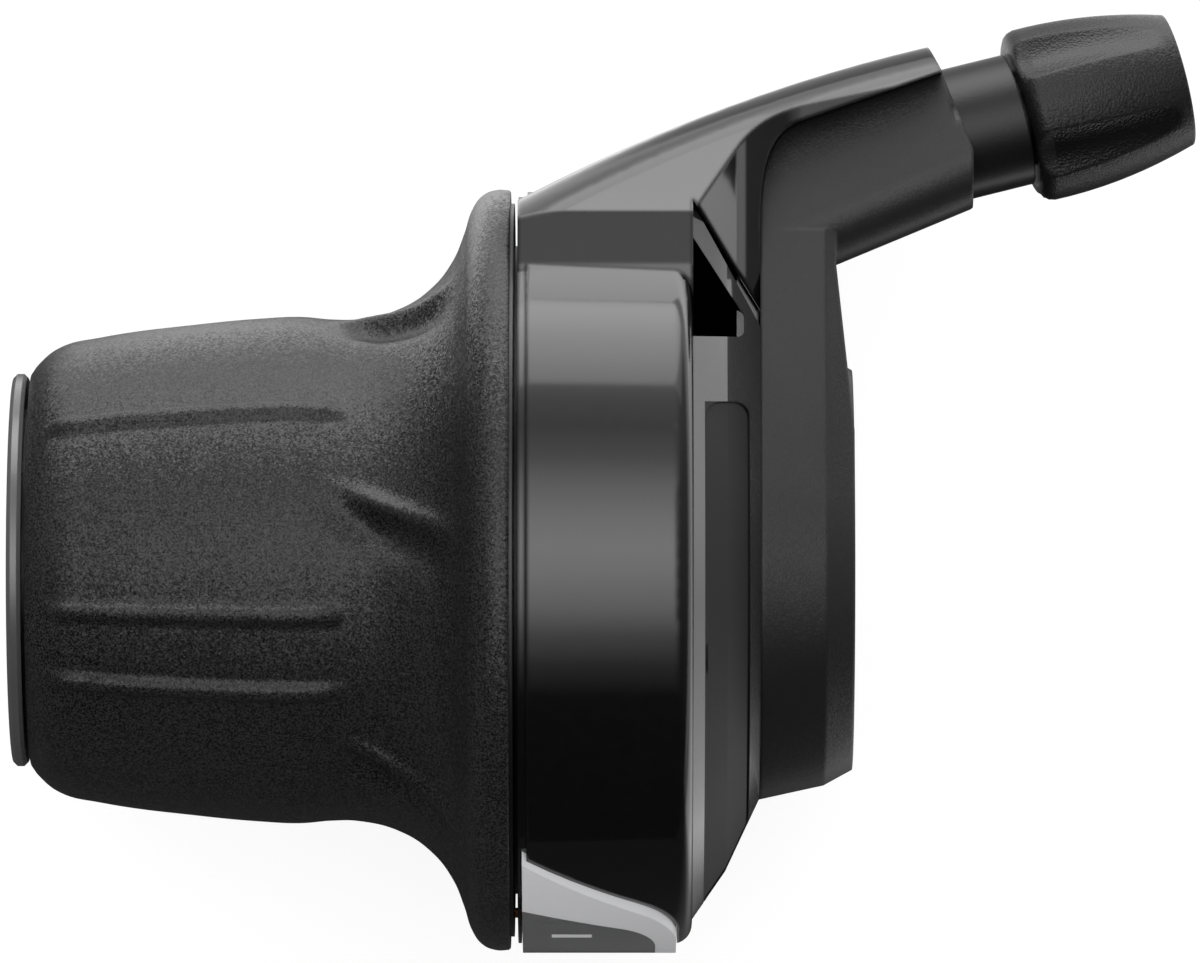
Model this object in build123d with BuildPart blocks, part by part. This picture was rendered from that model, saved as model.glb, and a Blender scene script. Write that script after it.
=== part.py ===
from build123d import *
import os
from math import acos, atan2, cos, degrees, hypot, radians, sin, tan

os.makedirs("parts", exist_ok=True)

# A left-hand twist grip shifter. X runs along the handlebar towards the middle of the bicycle,
# Y is forwards and Z is up. The origin is on the bar's axis, at the middle of the clamp collar.

# Fits
clamp_clearance = 0.05
turning_clearance = 0.05
running_gap = 0.3
seat_gap = 0.1

# Bar, collar and hub tube
bar_radius = 11.1
collar_length = 7.2
collar_radius = 17.8
collar_facet_radius = 16.7
collar_end_radius = 15.5
collar_facet_length = 2.2
hub_wall = 1.35
neck_radius = 15.2
bulkhead_thickness = 1.6

# Lengths along the bar
cone_length = 5.2
drum_length = 13.4
rim_length = 0.7
grip_length = 37.1
ring_length = 1.1
ring_bevel = 0.3

# Arm that carries the adjuster
flank_angle = 21
web_radius = 17.4
arm_reach = 12.9
arm_axis_height = 33.8
arm_rise = 19
arm_top_height = 38.4
arm_foot_height = 28
arm_root_height = 26.3
arm_shoulder_height = 34.6
arm_shoulder_set = 3.2
arm_tip_set = 2.4
arm_end_break = 32.4
arm_end_round = 1
web_lean = 1.35
web_corner_height = 23.6
web_lean_height = 10.8
arm_under_round = 3.4

# Drum, hood and cone
drum_radius = 29.3
drum_taper = 0.4
rim_step = 0.4
drum_edge_radius = 1.5
cover_wall = 1.6
drum_wall = 1.9
hood_start_drop = 0.9
hood_thickness = 2.1
hood_middle_rise = 6.3
crease_angle = 53
ledge_rise = 4.1
ledge_inset = 1.25
hood_top_half_width = 4.1
flank_hollow = 8
flank_root_half_width = 9.2
hood_tip_half_width = 6
ridge_radius = 6.2
cone_step = 2.2
cone_bulge = 0.9
cone_flank_angle = 30
cone_wall = 1.7
cone_rim_length = 1.7
cone_rim_wall = 1.5
seam_gap = 0.3
seam_foot_gap = 1.3
seam_foot_drop = 9.3
port_width = 3.9
port_drop = 2.9
port_height = 7.6
port_shoulder = 1.6
port_corner_radius = 1
panel_depth = 0.3
panel_margin = 0.9
panel_top_height = 12.9
panel_corner_radius = 1.2

# Gear display
display_angle = 95
display_length = 11.8
display_left_half = 46
display_shoulder_half = 33
display_right_half = 21
display_shoulder_length = 8.8
display_proud = 0.35
bezel_side = 4.9
bezel_end = 1.6
scale_half_angle = 36
scale_thickness = 0.7
scale_gap = 0.35
needle_width = 1.6
needle_thickness = 0.6
needle_reach = 9
gear_step = 24

# Turning pieces
sleeve_wall = 1.55
flange_inset = 0.9
flange_thickness = 1.3
lip_length = 1.4
lip_wall = 1
key_count = 3
key_width = 3
key_height = 1
key_length = 3
washer_thickness = 0.4
washer_width = 4
spool_length = 6.1
groove_depth = 1.8
groove_width = 1.8
notch_radius = 1

# Rubber grip
rubber_end_radius = 15.2
rubber_shoulder_radius = 17.3
rubber_middle_radius = 19.05
rubber_swell_radius = 19.65
rubber_waist_radius = 19.3
rubber_proud = 0.2
rubber_shoulder = 2.2
rubber_middle_share = 0.35
rubber_swell_share = 0.56
rubber_flare_length = 12.7
flare_arc_radius = 9.6
flare_end_angle = 78
rubber_flange_round = 2
rib_width = 1.4
rib_height = 0.6
rib_fade = 2.5
rib_rise = 0.7
rib_groups = 2
rib_pair_angle = -19
rib_single_angle = 39
rib_spread = 18.4
gusset_width = 1.6
gusset_drop = 2.5
gusset_set = 1
gusset_count = 6
gusset_angle = 11

# Adjuster
adjuster_pitch_angle = 14
adjuster_yaw_angle = 6
sleeve_radius = 5.15
shank_radius = 3.8
neck_seat = 0.8
socket_depth = 5
socket_set = 1
neck_length = 4.7
spigot_radius = 3.7
spigot_length = 3.2
thread_radius = 2.5
thread_clearance = 0.1
cable_bore_radius = 1
knob_length = 12.6
knob_radius = 6.8
knob_end_radius = 5.2
knob_middle_radius = 6.45
knob_collar_radius = 5.6
knob_shoulder = 1
knob_floor = 3.2
flute_count = 5
flute_radius = 2.2
flute_depth = 0.5
flute_start = 1.2
flute_length = 7.7
flute_angle = 56
flute_lean = 6
spring_thickness = 0.4
casing_radius = 2.5
casing_clearance = 0.1
seat_wall = 0.7
guide_radius = 1.6
guide_clearance = 0.15
guide_straight = 17.5
guide_notch_depth = 2
guide_end_rise = 1.8
guide_end_offset = 3.4
guide_end_angle = 20

# Fasteners and the click spring
clamp_screw_radius = 2
clamp_screw_length = 4.6
clamp_screw_socket = 1.1
bush_wall = 1
bush_length = 3.2
cover_screw_margin = 0.6
cover_screw_head_radius = 1.6
cover_screw_head_height = 1.1
cover_screw_radius = 0.9
boss_radius = 2.1
boss_length = 1.2
cover_screw_angles = (105, 180, 225)
leaf_half_length = 6
leaf_thickness = 0.4
leaf_gap = 0.4
post_radius = 0.8

# Stations along the bar
collar_right = collar_length / 2
collar_left = -collar_length / 2
bevel_start = collar_right - collar_facet_length
cone_left = collar_left - cone_length
drum_left = cone_left - drum_length
flange_right = drum_left - running_gap
flange_left = flange_right - flange_thickness
rubber_right = flange_right - running_gap
rubber_left = rubber_right - grip_length
ring_right = rubber_left - running_gap
ring_left = ring_right - ring_length
bulkhead_right = cone_left - seat_gap
bulkhead_left = bulkhead_right - bulkhead_thickness
washer_left = bulkhead_left - washer_thickness
spool_right = washer_left - turning_clearance
spool_left = spool_right - spool_length
groove_middle = spool_right - spool_length / 2
sleeve_right = spool_left + key_length - seat_gap

# Radii about the bar
clamp_bore = bar_radius + clamp_clearance
hub_radius = clamp_bore + hub_wall
sleeve_bore = hub_radius + turning_clearance
sleeve_outer = sleeve_bore + sleeve_wall
drum_bore = drum_radius - drum_wall
needle_outer = drum_bore - scale_gap
needle_inner = needle_outer - needle_thickness
scale_outer = needle_inner - scale_gap
lip_radius = scale_outer - scale_thickness - running_gap
cone_rim_radius = drum_bore - seat_gap
cone_radius = drum_radius - cone_step
bulkhead_radius = cone_rim_radius - cone_rim_wall - seat_gap
cover_screw_circle = bulkhead_radius - cover_screw_head_radius - cover_screw_margin
spool_radius = cover_screw_circle - cover_screw_head_radius - cover_screw_margin
groove_radius = spool_radius - groove_depth
flange_radius = drum_radius - flange_inset
rubber_flange_radius = drum_radius + rubber_proud
all_through = 4 * drum_radius

# Heights on the hood and the port
crease_height = drum_radius * sin(radians(crease_angle))
crease_half = drum_radius * cos(radians(crease_angle))
ledge_height = crease_height + ledge_rise
ledge_half_width = crease_half - ledge_inset
hood_start_height = drum_radius - hood_start_drop
hood_middle_height = hood_start_height + hood_middle_rise
hood_top_height = arm_top_height + hood_thickness
seam_foot_height = drum_radius - seam_foot_drop
port_top_height = hood_start_height - port_drop
port_bottom_height = port_top_height - port_height
port_shoulder_height = port_bottom_height + port_shoulder
guide_end_height = spool_radius + guide_end_rise


def outline(plane, *points):
    """A closed straight-sided face on a plane."""
    with BuildSketch(plane) as face:
        with BuildLine():
            Polyline(*points, close=True)
        make_face()
    return face.sketch


def ring(plane, outer, inner):
    """A flat ring on a plane."""
    with BuildSketch(plane) as face:
        Circle(outer)
        Circle(inner, mode=Mode.SUBTRACT)
    return face.sketch


def across(x):
    """A plane across the bar at x, with its own x along Y and its own y along Z."""
    return Plane(origin=(x, 0, 0), x_dir=(0, 1, 0), z_dir=(1, 0, 0))


def flank(radius, angle, height):
    """Half width, at a height, of a flank that is tangent to a circle about the bar."""
    return (radius - height * sin(radians(angle))) / cos(radians(angle))


def tangent_angle(radius, height, half):
    """Slope angle of a flank that is tangent to a circle about the bar and has a half width at a height."""
    return degrees(atan2(height, half) - acos(radius / hypot(height, half)))


def teardrop(x, radius, angle, height):
    """A circle about the bar with two tangent flanks that run up to a height."""
    foot = (radius * sin(radians(angle)), radius * cos(radians(angle)))
    half = flank(radius, angle, height)
    with BuildSketch(across(x)) as face:
        with BuildLine():
            Line((height, half), foot)
            ThreePointArc(foot, (-radius, 0), (foot[0], -foot[1]))
            Line((foot[0], -foot[1]), (height, -half))
            Line((height, -half), (height, half))
        make_face()
    return face.sketch


def around(angle):
    """A plane square to the bar's radius at an angle from Z towards -Y, with its own x along the bar."""
    out = Vector(0, -sin(radians(angle)), cos(radians(angle)))
    return Plane(origin=(0, 0, 0), x_dir=(1, 0, 0), z_dir=out)


# Points shared by the arm and the hood that covers it
arm_root = (collar_left, arm_root_height)
arm_shoulder = (collar_left + arm_shoulder_set, arm_shoulder_height)
arm_tip = (arm_reach - arm_tip_set, arm_top_height)
web_corner = (collar_right - web_lean, web_corner_height)
arm_under_middle = ((web_corner[0] + arm_reach) / 2, (web_corner_height + arm_foot_height) / 2, 0)
hood_start = (drum_left, hood_start_height)
hood_middle = (cone_left, hood_middle_height)
hood_tip = (arm_tip[0] - (hood_top_height - arm_top_height) / 2, hood_top_height)
seam_top = (cone_left, hood_start_height)
seam_foot = (collar_left, seam_foot_height)
parting_end_slope = (cos(radians(arm_rise)), sin(radians(arm_rise)))

# Line of the cable through the adjuster, and planes across it measured out from the arm's end
adjuster_out = Vector(
    cos(radians(adjuster_pitch_angle)) * cos(radians(adjuster_yaw_angle)),
    sin(radians(adjuster_pitch_angle)) * cos(radians(adjuster_yaw_angle)),
    -sin(radians(adjuster_yaw_angle)),
)
adjuster_root = Vector(arm_reach - socket_set, arm_axis_height, 0)


def along_adjuster(distance):
    """A plane across the adjuster's line, at a distance from the arm's end."""
    return Plane(origin=adjuster_root + adjuster_out * distance, z_dir=adjuster_out)


knob_start = neck_length + running_gap
knob_end = knob_start + knob_length
spigot_end = neck_length + spigot_length
pocket_end = spigot_end + spring_thickness + running_gap
screw_end = pocket_end + knob_floor
seat_radius = casing_radius + casing_clearance + seat_wall

# Arm of the clamp base, with a rounded underside
with BuildPart() as arm:
    with BuildSketch(Plane.XY):
        with BuildLine():
            Polyline((collar_left, web_corner_height), arm_root)
            Spline(arm_root, arm_shoulder, tangents=((0, 1), parting_end_slope))
            Polyline(arm_shoulder, arm_tip, (arm_reach, arm_end_break), (arm_reach, arm_foot_height))
            Polyline((arm_reach, arm_foot_height), web_corner, (collar_left, web_corner_height))
        make_face()
        fillet(vertices().group_by(Axis.X)[-1].sort_by(Axis.Y)[-1], arm_end_round)
    extrude(amount=all_through, both=True)
    extrude(teardrop(collar_left, web_radius, flank_angle, hood_top_height), amount=all_through,
            mode=Mode.INTERSECT)
    underside = faces().filter_by(Axis.Z, reverse=True).sort_by_distance(arm_under_middle)[0]
    fillet(underside.edges().filter_by(Axis.Z, reverse=True), arm_under_round)

# Clamp base: collar, web, arm, bulkhead and hub tube in one moulding
with BuildPart() as clamp_base:
    # Web, flush with the collar and the arm and bevelled along its free edge
    arm_half = flank(web_radius, flank_angle, arm_root_height)
    left_angle = tangent_angle(collar_radius, arm_root_height, arm_half)
    bevel_angle = tangent_angle(collar_facet_radius, arm_root_height, arm_half)
    web_sections = [
        teardrop(collar_left, collar_radius, left_angle, hood_top_height),
        teardrop(bevel_start, collar_facet_radius, bevel_angle, hood_top_height),
        teardrop(collar_right, collar_end_radius, flank_angle, hood_top_height),
    ]
    loft(web_sections, ruled=True)
    extrude(
        outline(
            Plane.XY,
            (collar_left, 0),
            (collar_left, arm_root_height),
            (web_corner[0], arm_root_height),
            web_corner,
            (collar_right, web_lean_height),
            (collar_right, 0),
        ),
        amount=all_through,
        both=True,
        mode=Mode.INTERSECT,
    )
    add(arm.part)
    # Collar, bulkhead and hub tube
    revolve(
        outline(
            Plane.XY,
            (ring_left, 0),
            (ring_left, hub_radius),
            (bulkhead_left, hub_radius),
            (bulkhead_left, bulkhead_radius),
            (bulkhead_right, bulkhead_radius),
            (bulkhead_right, neck_radius),
            (collar_left, neck_radius),
            (collar_left, collar_radius),
            (bevel_start, collar_facet_radius),
            (collar_right, collar_end_radius),
            (collar_right, 0),
        ),
        axis=Axis.X,
    )
    # Bore for the bar
    with BuildSketch(across(ring_left)):
        Circle(clamp_bore)
    extrude(amount=all_through, mode=Mode.SUBTRACT)
    # Socket for the adjuster's neck and the cable's way through the arm
    with BuildSketch(along_adjuster(-neck_seat)):
        Circle(sleeve_radius + seat_gap)
    extrude(amount=socket_depth * 2, mode=Mode.SUBTRACT)
    with BuildSketch(along_adjuster(-socket_depth)):
        Circle(shank_radius + seat_gap)
    extrude(amount=socket_depth, mode=Mode.SUBTRACT)
    with BuildSketch(along_adjuster(0)):
        Circle(guide_radius + guide_clearance)
    extrude(amount=-all_through, mode=Mode.SUBTRACT)
    # Hole for the clamp screw and its bush, on the underside of the collar
    with BuildSketch(Plane.XY.rotated((180, 0, 0))):
        Circle(clamp_screw_radius + bush_wall)
    extrude(amount=all_through, mode=Mode.SUBTRACT)
    # Notch in the bulkhead for the cable's liner
    with BuildSketch(across(bulkhead_left)):
        with Locations((bulkhead_radius, guide_end_offset)):
            Rectangle(2 * guide_notch_depth, 5 * guide_radius)
    extrude(amount=bulkhead_thickness, mode=Mode.SUBTRACT)
    # Holes for the cover screws
    with BuildSketch(across(bulkhead_left)):
        for angle in cover_screw_angles:
            with PolarLocations(cover_screw_circle, 1, start_angle=angle):
                Circle(cover_screw_radius + seat_gap)
    extrude(amount=bulkhead_thickness, mode=Mode.SUBTRACT)
clamp_base.part.label = "clamp_base"
export_step(clamp_base.part, "parts/clamp_base.step")

# Space inside the hood, open to the drum, to the arm and down to the cone
with BuildPart() as hood_core:
    with BuildSketch(Plane.XY):
        with BuildLine():
            Spline(
                (hood_start[0] + cover_wall, hood_start[1] - cover_wall),
                (hood_middle[0], hood_middle[1] - cover_wall),
                (arm_shoulder[0] - cover_wall, arm_shoulder[1]),
            )
            Polyline(
                (arm_shoulder[0] - cover_wall, arm_shoulder[1]),
                (arm_shoulder[0] - cover_wall, neck_radius),
                (hood_start[0] + cover_wall, neck_radius),
                (hood_start[0] + cover_wall, hood_start[1] - cover_wall),
            )
        make_face()
    extrude(amount=all_through, both=True)
    core_side = ledge_half_width - cover_wall
    core_top = hood_top_half_width - cover_wall
    extrude(
        outline(
            across(drum_left),
            (neck_radius, core_side),
            (ledge_height - cover_wall, core_side),
            (hood_top_height - cover_wall, core_top),
            (hood_top_height - cover_wall, -core_top),
            (ledge_height - cover_wall, -core_side),
            (neck_radius, -core_side),
        ),
        amount=all_through,
        mode=Mode.INTERSECT,
    )
    extrude(
        outline(
            Plane.XZ,
            (drum_left, core_side),
            (cone_left - cover_wall, core_side),
            (collar_left - cover_wall, flank_root_half_width - cover_wall),
            (arm_reach, flank_root_half_width - cover_wall),
            (arm_reach, cover_wall - flank_root_half_width),
            (collar_left - cover_wall, cover_wall - flank_root_half_width),
            (cone_left - cover_wall, -core_side),
            (drum_left, -core_side),
        ),
        amount=all_through,
        both=True,
        mode=Mode.INTERSECT,
    )

# Gear display, drawn square to its own radius: the outer bezel and the window inside it
display_left = drum_left + rim_length / 2


def display_outline(side, end, gap):
    """Half of the display's outline mirrored about its middle, drawn in by a side and an end width."""
    reach = drum_radius + display_proud
    left = reach * sin(radians(display_left_half)) - side + gap
    shoulder = reach * sin(radians(display_shoulder_half)) - side / 2 + gap
    right = reach * sin(radians(display_right_half)) - side / 3 + gap
    tail = display_left + display_length - end + gap
    with BuildSketch(around(display_angle)) as face:
        with BuildLine():
            Line((display_left - gap, 0), (display_left - gap, left))
            Line((display_left - gap, left), (display_left + display_shoulder_length - end, shoulder))
            Spline(
                (display_left + display_shoulder_length - end, shoulder),
                (tail, right),
                tangents=((display_shoulder_length, shoulder - left), (0, -1)),
            )
            Line((tail, right), (tail, 0))
            mirror(about=Plane.XZ)
        make_face()
    return face.sketch


# Main cover: drum wall and hood in one moulding
with BuildPart() as main_cover:
    with BuildSketch(Plane.XY):
        with BuildLine():
            Spline(hood_start, hood_middle, hood_tip)
            Polyline(hood_tip, arm_tip, arm_shoulder)
            Spline(arm_root, arm_shoulder, tangents=((0, 1), parting_end_slope))
            Polyline(arm_root, seam_foot, seam_top, (cone_left, neck_radius))
            Polyline((cone_left, neck_radius), (hood_start[0], neck_radius), hood_start)
        make_face()
    extrude(amount=all_through, both=True)
    extrude(
        outline(
            across(drum_left),
            (neck_radius, crease_half),
            (crease_height, crease_half),
            (ledge_height, ledge_half_width),
            (hood_top_height, hood_top_half_width),
            (hood_top_height, -hood_top_half_width),
            (ledge_height, -ledge_half_width),
            (crease_height, -crease_half),
            (neck_radius, -crease_half),
        ),
        amount=all_through,
        mode=Mode.INTERSECT,
    )
    hood_top = faces().filter_by(GeomType.PLANE, reverse=True).sort_by(Axis.Y)[-1]
    fillet(hood_top.edges().filter_by(Axis.Z, reverse=True), ridge_radius)
    with BuildSketch(Plane.XZ):
        with BuildLine():
            Polyline(
                (drum_left, 0),
                (drum_left, crease_half),
                (cone_left, crease_half),
                (cone_left, ledge_half_width),
                (collar_left, flank_root_half_width),
                (arm_reach, hood_tip_half_width),
                (arm_reach, 0),
                close=True,
            )
        make_face()
        fillet(vertices().sort_by_distance((collar_left, flank_root_half_width))[0], flank_hollow)
        mirror(about=Plane.XZ)
    extrude(amount=all_through, both=True, mode=Mode.INTERSECT)
    with BuildSketch(Plane.XY):
        with BuildLine():
            Polyline(
                (drum_left, 0),
                (drum_left, drum_radius - rim_step),
                (drum_left + rim_length, drum_radius - rim_step),
                (drum_left + rim_length, drum_radius),
                (cone_left, drum_radius - drum_taper),
                (cone_left, 0),
                close=True,
            )
        make_face()
        fillet(vertices().group_by(Axis.X)[-1].sort_by(Axis.Y)[-1], drum_edge_radius)
    revolve(axis=Axis.X)
    with BuildSketch(across(drum_left)):
        Circle(drum_bore)
    extrude(amount=drum_length, mode=Mode.SUBTRACT)
    add(hood_core.part, mode=Mode.SUBTRACT)
    extrude(display_outline(0, 0, seat_gap), amount=all_through, mode=Mode.SUBTRACT)
    with BuildSketch(along_adjuster(-neck_seat)):
        Circle(sleeve_radius + seat_gap)
    extrude(amount=socket_depth * 2, mode=Mode.SUBTRACT)
main_cover.part.label = "main_cover"
export_step(main_cover.part, "parts/main_cover.step")

# Cone between the drum and the collar, with the cable port and a bare sunk panel
cone_middle = (cone_left + collar_left) / 2
cone_middle_radius = (cone_radius + collar_radius) / 2 + cone_bulge
cone_middle_angle = (cone_flank_angle + flank_angle) / 2


def cone_body(shift, inset):
    """The three cross-sections of the cone, moved along the bar by a shift and made smaller by an inset."""
    return [
        teardrop(cone_left + shift, cone_radius - inset, cone_flank_angle, ledge_height),
        teardrop(cone_middle + shift, cone_middle_radius - inset, cone_middle_angle, ledge_height),
        teardrop(collar_left + shift, collar_radius - inset, flank_angle, ledge_height),
    ]


# Room for the bare sunk panel on the near side of the cone
panel_left = cone_left + panel_margin
panel_right = collar_left - panel_margin
with BuildPart() as panel_room:
    with BuildSketch(Plane.XY):
        with BuildLine():
            Polyline(
                (panel_left, panel_top_height),
                (panel_right, panel_top_height),
                (panel_right, -drum_radius),
                (panel_left, -drum_radius),
                close=True,
            )
        make_face()
        fillet(vertices().group_by(Axis.Y)[-1], panel_corner_radius)
    extrude(amount=drum_radius)
    loft(cone_body(0, panel_depth), ruled=True, mode=Mode.SUBTRACT)

with BuildPart() as cone_cover:
    loft(cone_body(0, 0), ruled=True)
    loft(cone_body(-cone_wall, 0), ruled=True, mode=Mode.SUBTRACT)
    add(panel_room.part, mode=Mode.SUBTRACT)
    # Collar hole, and the slope under the hood: a wedge of a seam on the port's side, closed on the other
    with BuildSketch(across(cone_left)):
        Circle(neck_radius + seat_gap)
    extrude(amount=cone_length, mode=Mode.SUBTRACT)
    for side, top_gap, foot_gap in ((1, seam_gap, seam_foot_gap), (-1, 0, 0)):
        hood_room = outline(
            Plane.XY,
            (seam_top[0] - cone_rim_length, seam_top[1] - top_gap),
            (seam_top[0], seam_top[1] - top_gap),
            (seam_foot[0], seam_foot[1] - foot_gap),
            (seam_foot[0], all_through),
            (seam_top[0] - cone_rim_length, all_through),
        )
        extrude(hood_room, amount=side * all_through, mode=Mode.SUBTRACT)
    # Rim that plugs into the drum, open at the top for the cable
    cone_rim = ring(across(cone_left), cone_rim_radius, cone_rim_radius - cone_rim_wall)
    extrude(cone_rim, amount=-cone_rim_length)
    extrude(
        outline(
            Plane.XZ.offset(-neck_radius),
            (cone_left - cone_rim_length, -all_through),
            (cone_left, -all_through),
            (cone_left, all_through),
            (cone_left - cone_rim_length, all_through),
        ),
        amount=-all_through,
        mode=Mode.SUBTRACT,
    )
    # Cable port on the upper side
    with BuildSketch(Plane.XY):
        with BuildLine():
            Polyline(
                (cone_left, port_top_height),
                (cone_left + port_width, port_shoulder_height),
                (cone_left + port_width, port_bottom_height),
                (cone_left, port_bottom_height),
                close=True,
            )
        make_face()
        corners = vertices().group_by(Axis.X)[-1]
        fillet(corners, port_corner_radius / 2)
    extrude(amount=all_through, mode=Mode.SUBTRACT)
    # Bosses for the cover screws, from the bulkhead to the cone's wall
    with BuildSketch(across(bulkhead_right)):
        for angle in cover_screw_angles:
            with PolarLocations(cover_screw_circle, 1, start_angle=angle):
                Circle(boss_radius)
    extrude(amount=boss_length)
    with BuildSketch(across(bulkhead_right)):
        for angle in cover_screw_angles:
            with PolarLocations(cover_screw_circle, 1, start_angle=angle):
                Circle(cover_screw_radius)
    extrude(amount=boss_length, mode=Mode.SUBTRACT)
cone_cover.part.label = "cone_cover"
export_step(cone_cover.part, "parts/cone_cover.step")

# Display bezel, window and number scale
with BuildPart() as display_bezel:
    extrude(ring(across(drum_left), drum_radius + display_proud, drum_bore + seat_gap), amount=drum_length)
    extrude(display_outline(0, 0, 0), amount=all_through, mode=Mode.INTERSECT)
    extrude(display_outline(bezel_side, bezel_end, 0), amount=all_through, mode=Mode.SUBTRACT)
display_bezel.part.label = "display_bezel"
export_step(display_bezel.part, "parts/display_bezel.step")

with BuildPart() as display_window:
    extrude(ring(across(drum_left), drum_radius + display_proud, drum_bore + seat_gap), amount=drum_length)
    extrude(display_outline(bezel_side, bezel_end, 0), amount=all_through, mode=Mode.INTERSECT)
display_window.part.label = "display_window"
export_step(display_window.part, "parts/display_window.step")

scale_right = cone_left - cone_rim_length
with BuildPart() as gear_scale:
    revolve(
        outline(
            Plane.XY.rotated((90 + display_angle - scale_half_angle, 0, 0)),
            (display_left + running_gap, scale_outer - scale_thickness),
            (display_left + running_gap, scale_outer),
            (scale_right, scale_outer),
            (scale_right, scale_outer - scale_thickness),
        ),
        axis=Axis.X,
        revolution_arc=2 * scale_half_angle,
    )
gear_scale.part.label = "gear_scale"
export_step(gear_scale.part, "parts/gear_scale.step")

# Needle that turns with the grip, between the window and the scale
with BuildPart() as indicator_needle:
    extrude(ring(across(flange_right), needle_outer, needle_inner), amount=needle_reach)
    with BuildSketch(around(display_angle)):
        with Locations((flange_right + needle_reach / 2, 0)):
            Rectangle(needle_reach, needle_width)
    extrude(amount=all_through, mode=Mode.INTERSECT)
indicator_needle.part.label = "indicator_needle"
export_step(indicator_needle.part, "parts/indicator_needle.step")

# Hard sleeve of the grip: tube, flange disc and drive keys
with BuildPart() as grip_sleeve:
    revolve(
        outline(
            Plane.XY,
            (rubber_left, sleeve_bore),
            (rubber_left, sleeve_outer),
            (flange_left, sleeve_outer),
            (flange_left, flange_radius),
            (flange_right, flange_radius),
            (flange_right, lip_radius),
            (flange_right + lip_length, lip_radius),
            (flange_right + lip_length, lip_radius - lip_wall),
            (flange_right, lip_radius - lip_wall),
            (flange_right, sleeve_outer),
            (sleeve_right, sleeve_outer),
            (sleeve_right, sleeve_bore),
        ),
        axis=Axis.X,
    )
    with BuildSketch(across(spool_left + seat_gap)):
        with PolarLocations(sleeve_outer, key_count):
            Rectangle(2 * key_height, key_width)
        Circle(sleeve_outer - sleeve_wall / 2, mode=Mode.SUBTRACT)
    extrude(amount=sleeve_right - spool_left - seat_gap)
grip_sleeve.part.label = "grip_sleeve"
export_step(grip_sleeve.part, "parts/grip_sleeve.step")

# Cable spool, with the cable's groove and the gear notches
with BuildPart() as cable_spool:
    revolve(
        outline(
            Plane.XY,
            (spool_left, sleeve_bore),
            (spool_left, spool_radius),
            (groove_middle - groove_width / 2, spool_radius),
            (groove_middle, groove_radius),
            (groove_middle + groove_width / 2, spool_radius),
            (spool_right, spool_radius),
            (spool_right, sleeve_bore),
        ),
        axis=Axis.X,
    )
    with BuildSketch(across(spool_left)):
        Circle(sleeve_outer + seat_gap)
        with PolarLocations(sleeve_outer, key_count):
            Rectangle(2 * (key_height + seat_gap), key_width + 2 * seat_gap)
    extrude(amount=key_length, mode=Mode.SUBTRACT)
    with BuildSketch(across(spool_left)):
        for gear in (-1, 0, 1):
            with PolarLocations(spool_radius, 1, start_angle=-90 + gear * gear_step):
                Circle(notch_radius)
    extrude(amount=(spool_length - groove_width) / 2, mode=Mode.SUBTRACT)
cable_spool.part.label = "cable_spool"
export_step(cable_spool.part, "parts/cable_spool.step")

# Rubber grip: waisted sleeve, flared flange, ribs and gussets
shoulder_x = rubber_left + rubber_shoulder
middle_x = rubber_left + grip_length * rubber_middle_share
swell_x = rubber_left + grip_length * rubber_swell_share
waist_x = rubber_right - rubber_flare_length
flare_end = (
    waist_x + flare_arc_radius * sin(radians(flare_end_angle)),
    rubber_waist_radius + flare_arc_radius * (1 - cos(radians(flare_end_angle))),
)
flange_corner = (
    flare_end[0] + (rubber_flange_radius - flare_end[1]) / tan(radians(flare_end_angle)),
    rubber_flange_radius,
)
with BuildPart() as grip_rubber:
    with BuildSketch(Plane.XY):
        with BuildLine():
            Line((rubber_left, sleeve_outer), (rubber_left, rubber_end_radius))
            Spline(
                (rubber_left, rubber_end_radius),
                (shoulder_x, rubber_shoulder_radius),
                (middle_x, rubber_middle_radius),
                (swell_x, rubber_swell_radius),
                (waist_x, rubber_waist_radius),
                tangents=((1, 2), (1, 0)),
            )
            flare_centre = (waist_x, rubber_waist_radius + flare_arc_radius)
            CenterArc(flare_centre, flare_arc_radius, -90, flare_end_angle)
            Polyline(
                flare_end,
                flange_corner,
                (rubber_right, rubber_flange_radius),
                (rubber_right, flange_radius),
                (flange_left, flange_radius),
                (flange_left, sleeve_outer),
                (rubber_left, sleeve_outer),
            )
        make_face()
        fillet(vertices().sort_by_distance(flange_corner)[0], rubber_flange_round)
    revolve(axis=Axis.X)
    # Ribs along the grip, in pairs and singly by turns
    for turn in range(rib_groups):
        middle = turn * 360 / rib_groups
        for angle in (rib_pair_angle - rib_spread / 2, rib_pair_angle + rib_spread / 2, rib_single_angle):
            side = Plane.XY.rotated((90 - middle - angle, 0, 0))
            with BuildSketch(side):
                with BuildLine():
                    Polyline(
                        (swell_x, rubber_swell_radius + rib_height),
                        (swell_x + rib_fade, rubber_swell_radius - rib_height),
                        (shoulder_x, rubber_shoulder_radius - rib_height),
                        (shoulder_x + rib_fade, rubber_shoulder_radius + rib_rise + rib_height),
                    )
                    Spline(
                        (shoulder_x + rib_fade, rubber_shoulder_radius + rib_rise + rib_height),
                        (middle_x, rubber_middle_radius + rib_height),
                        (swell_x, rubber_swell_radius + rib_height),
                    )
                make_face()
            extrude(amount=rib_width / 2, both=True)
    # Gussets that run up into the flange
    for turn in range(gusset_count):
        side = Plane.XY.rotated((90 - gusset_angle - turn * 360 / gusset_count, 0, 0))
        with BuildSketch(side):
            with BuildLine():
                Polyline(
                    (waist_x - gusset_set, rubber_waist_radius - rib_height),
                    (flare_end[0] - gusset_set, flare_end[1] - gusset_drop),
                    (flare_end[0] - gusset_set, rubber_waist_radius - rib_height),
                    close=True,
                )
            make_face()
        extrude(amount=gusset_width / 2, both=True)
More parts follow.
